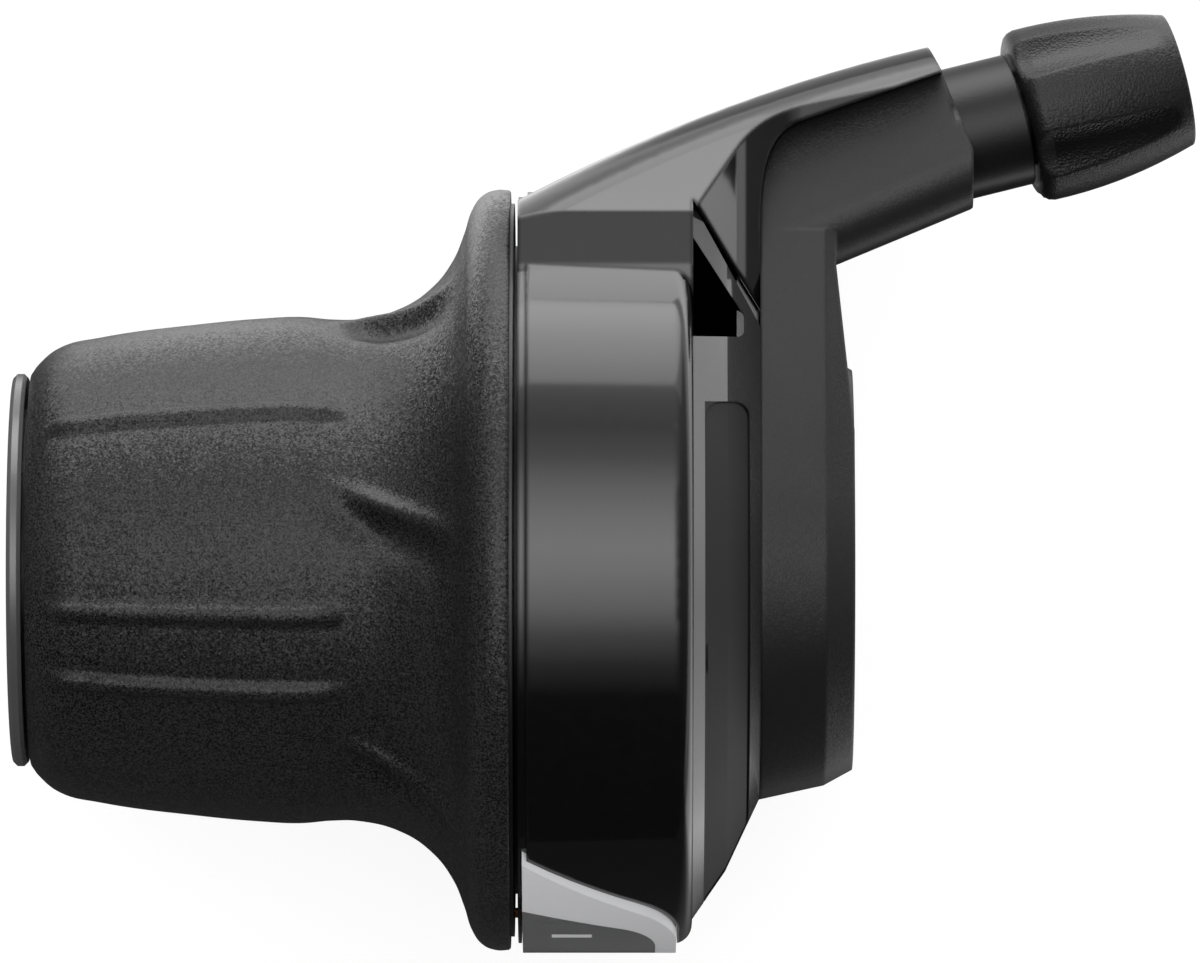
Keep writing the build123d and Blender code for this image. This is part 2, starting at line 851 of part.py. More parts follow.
grip_rubber.part.label = "grip_rubber"
export_step(grip_rubber.part, "parts/grip_rubber.step")

# Ring that keeps the grip on the hub tube
with BuildPart() as retaining_ring:
    extrude(ring(across(ring_left), rubber_end_radius, hub_radius + turning_clearance), amount=ring_length)
    chamfer(edges().filter_by(GeomType.CIRCLE).group_by(SortBy.RADIUS)[-1], ring_bevel)
retaining_ring.part.label = "retaining_ring"
export_step(retaining_ring.part, "parts/retaining_ring.step")

# Slip washer between the bulkhead and the spool
with BuildPart() as thrust_washer:
    extrude(ring(across(washer_left), sleeve_bore + washer_width, sleeve_bore), amount=washer_thickness)
thrust_washer.part.label = "thrust_washer"
export_step(thrust_washer.part, "parts/thrust_washer.step")

# Click spring: a leaf whose nose sits in the spool's notch, held by two posts on the bulkhead
leaf_depth = spool_radius + leaf_gap
leaf_left = spool_left
leaf_width = (spool_length - groove_width) / 2 - running_gap
with BuildPart() as click_spring:
    with BuildSketch(across(leaf_left)):
        with Locations((0, -leaf_depth - leaf_thickness / 2)):
            Rectangle(2 * leaf_half_length, leaf_thickness)
        with Locations((0, -leaf_depth)):
            Circle(notch_radius - leaf_gap / 2)
    extrude(amount=leaf_width)
click_spring.part.label = "click_spring"
export_step(click_spring.part, "parts/click_spring.step")

with BuildPart() as spring_posts:
    with BuildSketch(across(leaf_left)):
        for side in (-1, 1):
            post_height = -leaf_depth - leaf_thickness - post_radius
            with Locations((side * (leaf_half_length - post_radius), post_height)):
                Circle(post_radius)
    extrude(amount=bulkhead_left - leaf_left)
spring_posts.part.label = "spring_posts"
export_step(spring_posts.part, "parts/spring_posts.step")

# Clamp screw and its threaded bush, on the underside of the collar
under = Plane.XY.rotated((180, 0, 0))
with BuildPart() as clamp_bush:
    bush_radius = clamp_screw_radius + bush_wall
    bush_end = ring(under.offset(clamp_bore + running_gap), bush_radius, clamp_screw_radius)
    extrude(bush_end, amount=bush_length)
clamp_bush.part.label = "clamp_bush"
export_step(clamp_bush.part, "parts/clamp_bush.step")

with BuildPart() as clamp_screw:
    with BuildSketch(under.offset(clamp_bore + running_gap)):
        Circle(clamp_screw_radius)
    extrude(amount=clamp_screw_length)
    with BuildSketch(under.offset(clamp_bore + running_gap + clamp_screw_length)):
        RegularPolygon(clamp_screw_socket, 6)
    extrude(amount=-clamp_screw_length / 2, mode=Mode.SUBTRACT)
clamp_screw.part.label = "clamp_screw"
export_step(clamp_screw.part, "parts/clamp_screw.step")

# Screws from the bulkhead into the cone
with BuildPart() as cover_screws:
    with BuildSketch(across(bulkhead_left)):
        for angle in cover_screw_angles:
            with PolarLocations(cover_screw_circle, 1, start_angle=angle):
                Circle(cover_screw_head_radius)
    extrude(amount=-cover_screw_head_height)
    with BuildSketch(across(bulkhead_left)):
        for angle in cover_screw_angles:
            with PolarLocations(cover_screw_circle, 1, start_angle=angle):
                Circle(cover_screw_radius)
    extrude(amount=bulkhead_thickness + boss_length)
cover_screws.part.label = "cover_screws"
export_step(cover_screws.part, "parts/cover_screws.step")

# Curved liner that leads the cable from the spool into the arm
guide_start = along_adjuster(-socket_depth).origin
guide_bend = along_adjuster(-guide_straight).origin
guide_end = Vector(groove_middle, guide_end_height, guide_end_offset)
guide_end_way = (0, -sin(radians(guide_end_angle)), -cos(radians(guide_end_angle)))
with BuildPart() as cable_guide:
    with BuildLine() as guide_way:
        Line(guide_start, guide_bend)
        Spline(guide_bend, guide_end, tangents=(tuple(-adjuster_out), guide_end_way))
    with BuildSketch(along_adjuster(-socket_depth)):
        Circle(guide_radius)
        Circle(cable_bore_radius, mode=Mode.SUBTRACT)
    sweep(path=guide_way.line)
cable_guide.part.label = "cable_guide"
export_step(cable_guide.part, "parts/cable_guide.step")

# Neck of the adjuster, seated in the arm's end
with BuildPart() as adjuster_sleeve:
    with BuildSketch(along_adjuster(-socket_depth)):
        Circle(shank_radius)
    extrude(amount=socket_depth)
    with BuildSketch(along_adjuster(-neck_seat)):
        Circle(sleeve_radius)
    extrude(amount=neck_seat + neck_length)
    with BuildSketch(along_adjuster(neck_length)):
        Circle(spigot_radius)
    extrude(amount=spigot_length)
    with BuildSketch(along_adjuster(-socket_depth)):
        Circle(thread_radius + thread_clearance)
    extrude(amount=socket_depth + spigot_end, mode=Mode.SUBTRACT)
adjuster_sleeve.part.label = "adjuster_sleeve"
export_step(adjuster_sleeve.part, "parts/adjuster_sleeve.step")

# Spring washer on the spigot that holds the knob's clicks
with BuildPart() as adjuster_spring:
    extrude(ring(along_adjuster(spigot_end), spigot_radius, thread_radius + thread_clearance),
            amount=spring_thickness)
adjuster_spring.part.label = "adjuster_spring"
export_step(adjuster_spring.part, "parts/adjuster_spring.step")

# Hollow screw that the knob turns
with BuildPart() as adjuster_screw:
    extrude(ring(along_adjuster(seat_gap - socket_depth), thread_radius, cable_bore_radius),
            amount=screw_end + socket_depth - seat_gap)
adjuster_screw.part.label = "adjuster_screw"
export_step(adjuster_screw.part, "parts/adjuster_screw.step")

# Barrel knob with smooth flutes
adjuster_plane = along_adjuster(0)
profile_plane = Plane(origin=adjuster_plane.origin, x_dir=adjuster_plane.z_dir, z_dir=adjuster_plane.y_dir)
adjuster_axis = Axis(adjuster_plane.origin, adjuster_plane.z_dir)
barrel_start = knob_start + knob_shoulder
with BuildPart() as adjuster_knob:
    with BuildSketch(profile_plane):
        with BuildLine():
            Polyline((knob_end, 0), (knob_start, 0), (knob_start, knob_collar_radius))
            TangentArc((knob_start, knob_collar_radius), (barrel_start, knob_radius), tangent=(0, 1))
            ThreePointArc(
                (barrel_start, knob_radius),
                ((barrel_start + knob_end) / 2, knob_middle_radius),
                (knob_end, knob_end_radius),
            )
            Line((knob_end, knob_end_radius), (knob_end, 0))
        make_face()
    revolve(axis=adjuster_axis)
    for turn in range(flute_count):
        spoke = Rot(0, 0, flute_angle + turn * 360 / flute_count)
        set_out = Pos(knob_radius + flute_radius - flute_depth, 0, 0)
        flute_plane = along_adjuster(barrel_start + flute_start) * spoke * set_out * Rot(0, -flute_lean, 0)
        with BuildSketch(flute_plane):
            Circle(flute_radius)
        extrude(amount=flute_length, mode=Mode.SUBTRACT)
        with Locations(flute_plane, flute_plane * Pos(0, 0, flute_length)):
            Sphere(flute_radius, mode=Mode.SUBTRACT)
    with BuildSketch(along_adjuster(knob_start)):
        Circle(spigot_radius + running_gap)
    extrude(amount=pocket_end - knob_start, mode=Mode.SUBTRACT)
    with BuildSketch(along_adjuster(knob_start)):
        Circle(thread_radius)
    extrude(amount=knob_length, mode=Mode.SUBTRACT)
    with BuildSketch(along_adjuster(screw_end)):
        Circle(seat_radius + turning_clearance)
    extrude(amount=knob_end - screw_end, mode=Mode.SUBTRACT)
adjuster_knob.part.label = "adjuster_knob"
export_step(adjuster_knob.part, "parts/adjuster_knob.step")

# Seat in the knob for the end of the cable casing
with BuildPart() as casing_seat:
    with BuildSketch(along_adjuster(screw_end + turning_clearance)):
        Circle(seat_radius)
    extrude(amount=knob_end - screw_end - running_gap)
    with BuildSketch(along_adjuster(screw_end + turning_clearance + seat_wall)):
        Circle(casing_radius + casing_clearance)
    extrude(amount=knob_length, mode=Mode.SUBTRACT)
    with BuildSketch(along_adjuster(screw_end)):
        Circle(cable_bore_radius)
    extrude(amount=knob_length, mode=Mode.SUBTRACT)
casing_seat.part.label = "casing_seat"
export_step(casing_seat.part, "parts/casing_seat.step")
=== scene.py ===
from math import atan2, cos, degrees, exp, hypot, pi, radians, sin

import bmesh
import bpy
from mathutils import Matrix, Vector


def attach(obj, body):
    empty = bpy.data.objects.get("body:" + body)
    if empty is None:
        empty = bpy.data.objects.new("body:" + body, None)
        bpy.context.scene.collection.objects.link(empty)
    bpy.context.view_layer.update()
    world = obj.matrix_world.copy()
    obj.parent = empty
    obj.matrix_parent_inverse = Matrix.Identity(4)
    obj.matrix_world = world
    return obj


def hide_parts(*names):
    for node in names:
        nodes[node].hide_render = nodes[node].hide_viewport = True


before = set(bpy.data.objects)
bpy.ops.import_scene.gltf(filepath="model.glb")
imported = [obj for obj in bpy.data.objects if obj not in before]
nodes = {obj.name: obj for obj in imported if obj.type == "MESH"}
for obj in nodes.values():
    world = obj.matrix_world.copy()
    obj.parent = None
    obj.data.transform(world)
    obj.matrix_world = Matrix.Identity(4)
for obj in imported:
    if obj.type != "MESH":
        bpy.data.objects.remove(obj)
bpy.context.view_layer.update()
scene = bpy.context.scene
MM = 0.001

# The bar runs along X, and the photograph looks straight down on it
PICTURE_WIDTH = 93 * MM
PICTURE_CENTRE = (-15.9 * MM, 6.86 * MM)
LENS = 400
SENSOR = 36
CAMERA_REACH = 50

# How finely pieces are made
SPIN_STEPS = 480
CURVE_STEPS = 9
KNOB_STEPS = 90
MERGE_DISTANCE = 0.002 * MM

# Rubber grip, in millimetres along the bar and out from it
RUBBER_END = -59.90
RUBBER_FACE = -22.80
RUBBER_RIM = 29.30
RUBBER_BORE = 14.12
FLANGE_BACK = -23.80
FLANGE_SEAT = 28.42
RUBBER_OUTSIDE = (
    (RUBBER_END, 15.20), (-59.35, 15.95), (-57.70, 17.25), (-54.60, 18.02), (-46.90, 19.05), (-42.00, 19.50),
    (-39.10, 19.62), (-36.60, 19.42), (-34.60, 19.45), (-31.40, 20.25), (-29.00, 21.80), (-27.30, 23.95),
    (-26.40, 26.10), (-25.80, 27.90), (-25.00, 29.00), (-23.90, 29.45), (-22.95, 29.43),
)
RUBBER_INSIDE = (
    (RUBBER_FACE, RUBBER_RIM), (RUBBER_FACE, FLANGE_SEAT), (FLANGE_BACK, FLANGE_SEAT),
    (FLANGE_BACK, RUBBER_BORE), (RUBBER_END, RUBBER_BORE),
)

# Ribs and scoops lie outside this radius and end here along the bar, in millimetres
RELIEF_FLOOR = 15.0
RELIEF_END = -25.6

# Ribs along the grip, in millimetres and in degrees round the bar
RIB_ANGLES = (-28.2, -9.8, 39, 151.8, 170.2, -141)
RIB_HALF = 0.62
RIB_SOFT = 0.3
RIB_HEIGHT = 0.55
RIB_CIRCLE = 19
RIB_START = (-58.6, -56.8)
RIB_STOP = (-37.6, -34.8)

# Slanted ridges round the flare, each with a finger scoop beside it, in millimetres and degrees
SCOOP_COUNT = 6
SCOOP_START = (-37.5, -32.5)
SCOOP_STOP = (-29.0, -25.9)
RIDGE_ROOT = -35
RIDGE_TURN = 17.6
RIDGE_SLANT = 10.3 / 7.7
RIDGE_HEIGHT = 0.75
RIDGE_HALF = 2.6
SCOOP_ASIDE = 6.5
SCOOP_DEPTH = 0.75
SCOOP_HALF = 4.2

# Brightness of the room, from the rider's side (-1) over the camera (0) to the arm's side (1)
WALL_PEAK = 6
WALL_GLOW = (
    (-1.0, 0.03), (-0.62, 0.05), (-0.3, 0.15), (0.0, 0.3), (0.3, 0.4), (0.574, 0.55), (0.705, 0.65),
    (0.80, 1.2), (0.85, 1.6), (0.865, 3.1), (0.97, 4.8), (1.0, 5.8),
)
FRONT_PEAK = 4
FRONT_GLOW = (
    (-1.0, 0.0), (-0.62, 0.0), (-0.48, 0.3), (-0.335, 1.0), (-0.184, 2.4), (0.0, 3.4), (0.13, 3.75),
    (0.25, 3.3), (0.335, 2.8), (0.45, 2.0), (0.574, 0.9), (0.705, 0.3), (0.8, 0.0), (1.0, 0.0),
)
FRONT_CORE = 0.05
FRONT_RIM = 0.66

# Floor: in reflections a card that glows with painted light, dim on the rider's side, brightest under the far
# wall
FLOOR_HEIGHT = -30.5 * MM
FLOOR_RADIUS = 6
FLOOR_SIDES = 96
FLOOR_ROUGH = 0.9
FLOOR_LEAN = (0.9, 1.0)
FLOOR_NEAR = -80 * MM
FLOOR_FAR = 240 * MM
FLOOR_PEAK = 5
FLOOR_GLOW = (
    (-80, 0.02), (-42, 0.1), (-27, 0.5), (-12, 1.9), (50, 1.8), (110, 1.75), (140, 2.3), (240, 4.6),
)
FLOOR_WHITE = 0.86
# Floor colour to the camera and in diffuse light, and the darker colour it takes in reflections, a painted
# shade
FLOOR_BASE = 0.2
FLOOR_DIM = 0.02

# Painted shadows of the object on that card, seen only in reflections: centre, share of each direction, where
# it is darkest, where it ends, light left
FLOOR_PAINTED_SHADOWS = (
    ((-15 * MM, 0), (0.6, 1.0), 26 * MM, 48 * MM, 0.0),
    ((2 * MM, 72 * MM), (1.0, 1.0), 20 * MM, 36 * MM, 0.35),
    ((30 * MM, 8 * MM), (1.0, 1.0), 16 * MM, 32 * MM, 0.05),
)
# The card's far right side is painted dimmer, from full here down to the share left there
FLOOR_RIGHT = (135 * MM, 165 * MM)
FLOOR_RIGHT_SHARE = 0.35

# Soft lamp beyond the arm, in metres and watts
LAMP_PLACE = (0, 0.62, 0.20)
LAMP_AIM = (0, 0, 0)
LAMP_SIZE = (1.0, 0.34)
LAMP_POWER = 0.6

# Cable adjuster's own line, and its knob along that line and out from it
ADJUSTER_ROOT = Vector((11.9, 33.8, 0)) * MM
ADJUSTER_LINE = Vector((0.96498, 0.24060, -0.10453)).normalized()
KNOB_START = 6.0 * MM
KNOB_LENGTH = 11.6 * MM
KNOB_RADIUS = 6.8 * MM
KNOB_SLOPE = 0.01724
KNOB_CURVE = -13.377
KNOB_SKIN = 0.005 * MM
KNOB_FACE = 5.0 * MM
POCKET_RADIUS = 4.0 * MM
POCKET_END = 8.6 * MM
THREAD_RADIUS = 2.5 * MM
SEAT_START = 11.8 * MM
SEAT_RADIUS = 3.4 * MM

# Rounded shoulder of the knob, in millimetres
KNOB_SHOULDER = ((5.0, 5.6), (5.06, 6.0), (5.25, 6.4), (5.55, 6.66))

# Flutes in the knob's outside, which run out before its end
FLUTE_FLOOR = 5 * MM
FLUTE_COUNT = 5
FLUTE_TURN = 41
FLUTE_HALF = 18
FLUTE_TAPER = 30
FLUTE_LENGTH = 10.8 * MM
FLUTE_DEPTH = 0.80 * MM
FLUTE_FALL = 0.7
FLUTE_INSET = 0.3 * MM
FLUTE_EDGE = (0.03 * MM, 0.10 * MM)

# Sunk panel on the cone
PANEL_LEFT = -7.95 * MM
PANEL_RIGHT = -4.45 * MM
PANEL_TOP = 12.95 * MM

# Gear figures, printed on the window
FIGURES = (("1", 71), ("2", 95), ("3", 119))
FIGURE_MIDDLE = -17.9 * MM
FIGURE_HEIGHT = 2.9 * MM
FIGURE_FONT = 1.4 * FIGURE_HEIGHT
FIGURE_RADIUS = 29.64 * MM
FIGURE_THICKNESS = 0.03 * MM
FIGURE_BOLD = 0.15 * MM


def smooth_step(low, high, value):
    """Goes from 0 at low to 1 at high without a corner."""
    share = min(1, max(0, (value - low) / (high - low)))
    return share * share * (3 - 2 * share)


def turn_between(angle, other, spacing=360):
    """Signed turn from the nearest of the angles that repeat at a spacing, in degrees."""
    return (angle - other + spacing / 2) % spacing - spacing / 2


def new_piece(name, shape, body, material, smooth=True):
    """Makes a bmesh a piece that rides on a body and takes a slot's finish."""
    bmesh.ops.remove_doubles(shape, verts=shape.verts[:], dist=MERGE_DISTANCE)
    bmesh.ops.recalc_face_normals(shape, faces=shape.faces[:])
    mesh = bpy.data.meshes.new(name)
    shape.to_mesh(mesh)
    shape.free()
    for face in mesh.polygons:
        face.use_smooth = smooth
    piece = bpy.data.objects.new(name, mesh)
    scene.collection.objects.link(piece)
    piece.data.materials.append(material)
    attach(piece, body)
    return piece


def curve_profile(points):
    """A bmesh of one smooth line through points in millimetres, along the bar and out from it."""
    curve = bpy.data.curves.new("profile", "CURVE")
    curve.dimensions = "3D"
    curve.resolution_u = CURVE_STEPS
    line = curve.splines.new("BEZIER")
    line.bezier_points.add(len(points) - 1)
    for point, (along, out) in zip(line.bezier_points, points):
        point.co = (along * MM, out * MM, 0)
        point.handle_left_type = "AUTO"
        point.handle_right_type = "AUTO"
    holder = bpy.data.objects.new("profile", curve)
    scene.collection.objects.link(holder)
    bpy.context.view_layer.update()
    mesh = bpy.data.meshes.new_from_object(holder)
    bpy.data.objects.remove(holder)
    shape = bmesh.new()
    shape.from_mesh(mesh)
    bpy.data.meshes.remove(mesh)
    return shape


def new_material(name):
    """A node material with its Principled shader."""
    material = bpy.data.materials.new(name)
    material.use_nodes = True
    return material, material.node_tree.nodes, material.node_tree.links


def calc(tree, links, operation, *values):
    """A Math node on sockets or plain numbers."""
    node = tree.new("ShaderNodeMath")
    node.operation = operation
    for socket, value in zip(node.inputs, values):
        if isinstance(value, (int, float)):
            socket.default_value = value
        else:
            links.new(value, socket)
    return node.outputs[0]


def fade(tree, links, value, start, end, first=0.0, last=1.0):
    """Goes softly from first at start to last at end."""
    node = tree.new("ShaderNodeMapRange")
    node.interpolation_type = "SMOOTHSTEP"
    node.inputs["From Min"].default_value = start
    node.inputs["From Max"].default_value = end
    node.inputs["To Min"].default_value = first
    node.inputs["To Max"].default_value = last
    links.new(value, node.inputs["Value"])
    return node.outputs["Result"]


def vector_calc(tree, links, operation, *values):
    """A Vector Math node on sockets or plain vectors."""
    node = tree.new("ShaderNodeVectorMath")
    node.operation = operation
    for socket, value in zip(node.inputs, values):
        if isinstance(value, (tuple, list, Vector)):
            socket.default_value = value
        else:
            links.new(value, socket)
    return node


def new_group(name, inputs, outputs):
    """An empty shader group with named sockets."""
    group = bpy.data.node_groups.new(name, "ShaderNodeTree")
    for label, kind, value in inputs:
        socket = group.interface.new_socket(name=label, in_out="INPUT", socket_type=kind)
        if value is not None:
            socket.default_value = value
    for label, kind in outputs:
        group.interface.new_socket(name=label, in_out="OUTPUT", socket_type=kind)
    return group, group.nodes.new("NodeGroupInput"), group.nodes.new("NodeGroupOutput")


def moulded_grain():
    """Fine pebbled grain of a mould, with soft patches where it is worn or dusty."""
    group, given, put = new_group(
        "moulded grain",
        [
            ("Grain Size", "NodeSocketFloat", 5000),
            ("Patch Size", "NodeSocketFloat", 60),
            ("Depth", "NodeSocketFloat", 0.3),
            ("Edge", "NodeSocketFloat", 0.2 * MM),
            ("Speckle", "NodeSocketFloat", 0.0),
        ],
        [("Normal", "NodeSocketVector"), ("Fleck", "NodeSocketFloat"), ("Patch", "NodeSocketFloat")],
    )
    add, link = group.nodes.new, group.links.new
    place = add("ShaderNodeTexCoord")
    pebble = add("ShaderNodeTexNoise")
    pebble.inputs["Detail"].default_value = 1.5
    pebble.inputs["Roughness"].default_value = 0.55
    patch = add("ShaderNodeTexNoise")
    patch.inputs["Detail"].default_value = 3
    spread = add("ShaderNodeMapRange")
    spread.inputs["From Min"].default_value = 0.32
    spread.inputs["From Max"].default_value = 0.68
    soften = add("ShaderNodeMapRange")
    soften.inputs["From Min"].default_value = 0.3
    soften.inputs["From Max"].default_value = 0.7
    edge = add("ShaderNodeBevel")
    edge.samples = 6
    bump = add("ShaderNodeBump")
    bump.inputs["Distance"].default_value = 0.1 * MM
    link(place.outputs["Object"], pebble.inputs["Vector"])
    link(place.outputs["Object"], patch.inputs["Vector"])
    link(given.outputs["Grain Size"], pebble.inputs["Scale"])
    link(given.outputs["Patch Size"], patch.inputs["Scale"])
    link(pebble.outputs["Fac"], spread.inputs["Value"])
    link(patch.outputs["Fac"], soften.inputs["Value"])
    link(given.outputs["Edge"], edge.inputs["Radius"])
    link(given.outputs["Depth"], bump.inputs["Strength"])
    link(spread.outputs["Result"], bump.inputs["Height"])
    link(edge.outputs["Normal"], bump.inputs["Normal"])
    cell = add("ShaderNodeTexVoronoi")
    link(place.outputs["Object"], cell.inputs["Vector"])
    link(given.outputs["Grain Size"], cell.inputs["Scale"])
    lean = vector_calc(group.nodes, group.links, "SUBTRACT", cell.outputs["Color"], (0.5, 0.5, 0.5))
    facet = vector_calc(group.nodes, group.links, "SCALE", lean.outputs["Vector"])
    link(given.outputs["Speckle"], facet.inputs["Scale"])
    tilted = vector_calc(group.nodes, group.links, "ADD", bump.outputs["Normal"], facet.outputs["Vector"])
    even = vector_calc(group.nodes, group.links, "NORMALIZE", tilted.outputs["Vector"])
    link(even.outputs["Vector"], put.inputs["Normal"])
    link(spread.outputs["Result"], put.inputs["Fleck"])
    link(soften.outputs["Result"], put.inputs["Patch"])
    return group


GRAIN = moulded_grain()


def finish(
    name, dark, light, rough, grain_size, depth, edge=0.2, fleck_share=0.5, crisp=0.0, shine=0.5, speckle=0.0,
    metallic=0.0,
):
    """A moulded, painted or metal finish between two colours and two roughness values.

    The grain's size is in grains to the metre, and the rounding of edges in millimetres.
    """
    material, tree, links = new_material(name)
    shader = tree["Principled BSDF"]
    shader.inputs["Metallic"].default_value = metallic
    shader.inputs["Specular IOR Level"].default_value = shine
    grain = tree.new("ShaderNodeGroup")
    grain.node_tree = GRAIN
    grain.inputs["Grain Size"].default_value = grain_size
    grain.inputs["Depth"].default_value = depth
    grain.inputs["Edge"].default_value = edge * MM
    grain.inputs["Speckle"].default_value = speckle
    blend = tree.new("ShaderNodeMix")
    blend.data_type = "FLOAT"
    blend.inputs["Factor"].default_value = fleck_share
    colour = tree.new("ShaderNodeMix")
    colour.data_type = "RGBA"
    colour.inputs["A"].default_value = (*dark, 1)
    colour.inputs["B"].default_value = (*light, 1)
    gloss = tree.new("ShaderNodeMapRange")
    gloss.inputs["To Min"].default_value = rough[0]
    gloss.inputs["To Max"].default_value = rough[1]
    speck = tree.new("ShaderNodeMapRange")
    speck.inputs["From Min"].default_value = crisp
    speck.inputs["From Max"].default_value = 1 - crisp
    links.new(grain.outputs["Patch"], blend.inputs["A"])
    links.new(grain.outputs["Fleck"], speck.inputs["Value"])
    links.new(speck.outputs["Result"], blend.inputs["B"])
    links.new(blend.outputs["Result"], colour.inputs["Factor"])
    links.new(grain.outputs["Patch"], gloss.inputs["Value"])
    links.new(colour.outputs["Result"], shader.inputs["Base Color"])
    links.new(gloss.outputs["Result"], shader.inputs["Roughness"])
    links.new(grain.outputs["Normal"], shader.inputs["Normal"])
    return material


def grey(level):
    """A grey with a trace of blue."""
    return (level, level, level * 1.02)


gloss_black = finish("gloss black cover", grey(0.002), grey(0.004), (0.045, 0.075), 900, 0.003, 0.5)
cone_black = finish(
    "lacquered cone", grey(0.010), grey(0.014), (0.52, 0.58), 6500, 0.05, 0.25, shine=0.12, speckle=0.03
)
matte_black = finish(
    "matte clamp", grey(0.009), grey(0.013), (0.36, 0.44), 6500, 0.10, 0.4, shine=0.36, speckle=0.07
)
satin_black = finish("satin neck", grey(0.004), grey(0.007), (0.30, 0.36), 4000, 0.04, 0.2, shine=0.3)
knob_black = finish(
    "stippled knob", grey(0.004), grey(0.009), (0.34, 0.42), 5200, 0.25, 0.3, shine=0.3, speckle=0.10
)
rubber_black = finish(
    "grip rubber", grey(0.003), grey(0.030), (0.25, 0.32), 6400, 0.15, 0.3, fleck_share=0.9, crisp=0.24,
    shine=0.24, speckle=0.32,
)
sleeve_black = finish("grip sleeve", grey(0.005), grey(0.008), (0.35, 0.42), 3000, 0.06, 0.2)
ring_grey = finish("satin end ring", grey(0.075), grey(0.085), (0.16, 0.22), 5000, 0.03, 0.08)
bezel_grey = finish("painted bezel", grey(0.70), grey(0.74), (0.38, 0.44), 7000, 0.05, 0.1, shine=0.3)
scale_dark = finish("dial strip", grey(0.09), grey(0.11), (0.5, 0.6), 4000, 0.05, 0.1)
figure_white = finish("printed figures", grey(0.62), grey(0.70), (0.5, 0.6), 5000, 0.05, 0.02)
needle_orange = finish("orange needle", (0.75, 0.20, 0.02), (0.85, 0.26, 0.03), (0.4, 0.5), 4000, 0.05, 0.1)
spool_white = finish("spool nylon", grey(0.62), grey(0.70), (0.42, 0.5), 3000, 0.05, 0.15)
liner_black = finish("cable liner", grey(0.02), grey(0.03), (0.4, 0.5), 4000, 0.05, 0.1)
spring_steel = finish("spring steel", grey(0.55), grey(0.62), (0.22, 0.3), 6000, 0.05, 0.05, metallic=1.0)
screw_steel = finish("screw steel", grey(0.50), grey(0.58), (0.25, 0.33), 6000, 0.06, 0.1, metallic=1.0)
bush_brass = finish(
    "bush brass", (0.62, 0.42, 0.16), (0.70, 0.49, 0.20), (0.28, 0.36), 5000, 0.05, 0.1, metallic=1.0
)
screw_alloy = finish("alloy screw", grey(0.58), grey(0.66), (0.28, 0.35), 5000, 0.05, 0.1, metallic=1.0)


def lay_in(material, mask, colour, rough, speckle):
    """Gives the masked part of a finish its own colour, roughness and stipple."""
    tree, links = material.node_tree.nodes, material.node_tree.links
    shader = tree["Principled BSDF"]
    grain = next(node for node in tree if node.type == "GROUP")
    own = (
        (shader.inputs["Base Color"], (*colour, 1), "RGBA"),
        (shader.inputs["Roughness"], rough, "FLOAT"),
        (grain.inputs["Speckle"], speckle, "FLOAT"),
    )
    for socket, value, kind in own:
        blend = tree.new("ShaderNodeMix")
        blend.data_type = kind
        if socket.is_linked:
            links.new(socket.links[0].from_socket, blend.inputs["A"])
        else:
            blend.inputs["A"].default_value = socket.default_value
        blend.inputs["B"].default_value = value
        links.new(mask, blend.inputs["Factor"])
        links.new(blend.outputs["Result"], socket)


def panel_mask(material):
    """The sunk panel on the cone's front."""
    tree, links = material.node_tree.nodes, material.node_tree.links
    place = tree.new("ShaderNodeTexCoord")
    split = tree.new("ShaderNodeSeparateXYZ")
    links.new(place.outputs["Object"], split.inputs["Vector"])
    left = calc(tree, links, "GREATER_THAN", split.outputs["X"], PANEL_LEFT)
    right = calc(tree, links, "LESS_THAN", split.outputs["X"], PANEL_RIGHT)
    top = calc(tree, links, "LESS_THAN", split.outputs["Y"], PANEL_TOP)
    front = calc(tree, links, "GREATER_THAN", split.outputs["Z"], 0)
    width = calc(tree, links, "MULTIPLY", left, right)
    height = calc(tree, links, "MULTIPLY", top, front)
    return calc(tree, links, "MULTIPLY", width, height)


def flute_mask(material):
    """The smooth flutes of the knob: where its surface lies inside the barrel's own curve."""
    tree, links = material.node_tree.nodes, material.node_tree.links
    place = tree.new("ShaderNodeTexCoord")
    reach = vector_calc(tree, links, "SUBTRACT", place.outputs["Object"], ADJUSTER_ROOT)
    along = vector_calc(tree, links, "DOT_PRODUCT", reach.outputs["Vector"], ADJUSTER_LINE).outputs["Value"]
    aside = vector_calc(tree, links, "CROSS_PRODUCT", reach.outputs["Vector"], ADJUSTER_LINE)
    out = vector_calc(tree, links, "LENGTH", aside.outputs["Vector"]).outputs["Value"]
    run = calc(tree, links, "SUBTRACT", along, KNOB_START)
    swell = calc(tree, links, "MULTIPLY_ADD", run, KNOB_CURVE, KNOB_SLOPE)
    barrel = calc(tree, links, "MULTIPLY_ADD", run, swell, KNOB_RADIUS)
    depth = calc(tree, links, "SUBTRACT", barrel, out)
    from_middle = calc(tree, links, "ABSOLUTE", calc(tree, links, "SUBTRACT", run, KNOB_LENGTH / 2))
    middle = calc(tree, links, "LESS_THAN", from_middle, KNOB_LENGTH / 2 - FLUTE_INSET)
    return calc(tree, links, "MULTIPLY", fade(tree, links, depth, *FLUTE_EDGE), middle)


def lacquer(material, bare):
    """A clear gloss coat everywhere but on the bare part."""
    tree, links = material.node_tree.nodes, material.node_tree.links
    shader = tree["Principled BSDF"]
    shader.inputs["Coat Roughness"].default_value = 0.05
    shader.inputs["Coat IOR"].default_value = 1.46
    links.new(calc(tree, links, "SUBTRACT", 1, bare), shader.inputs["Coat Weight"])


lacquer(cone_black, panel_mask(cone_black))
lay_in(knob_black, flute_mask(knob_black), grey(0.004), 0.24, 0.0)


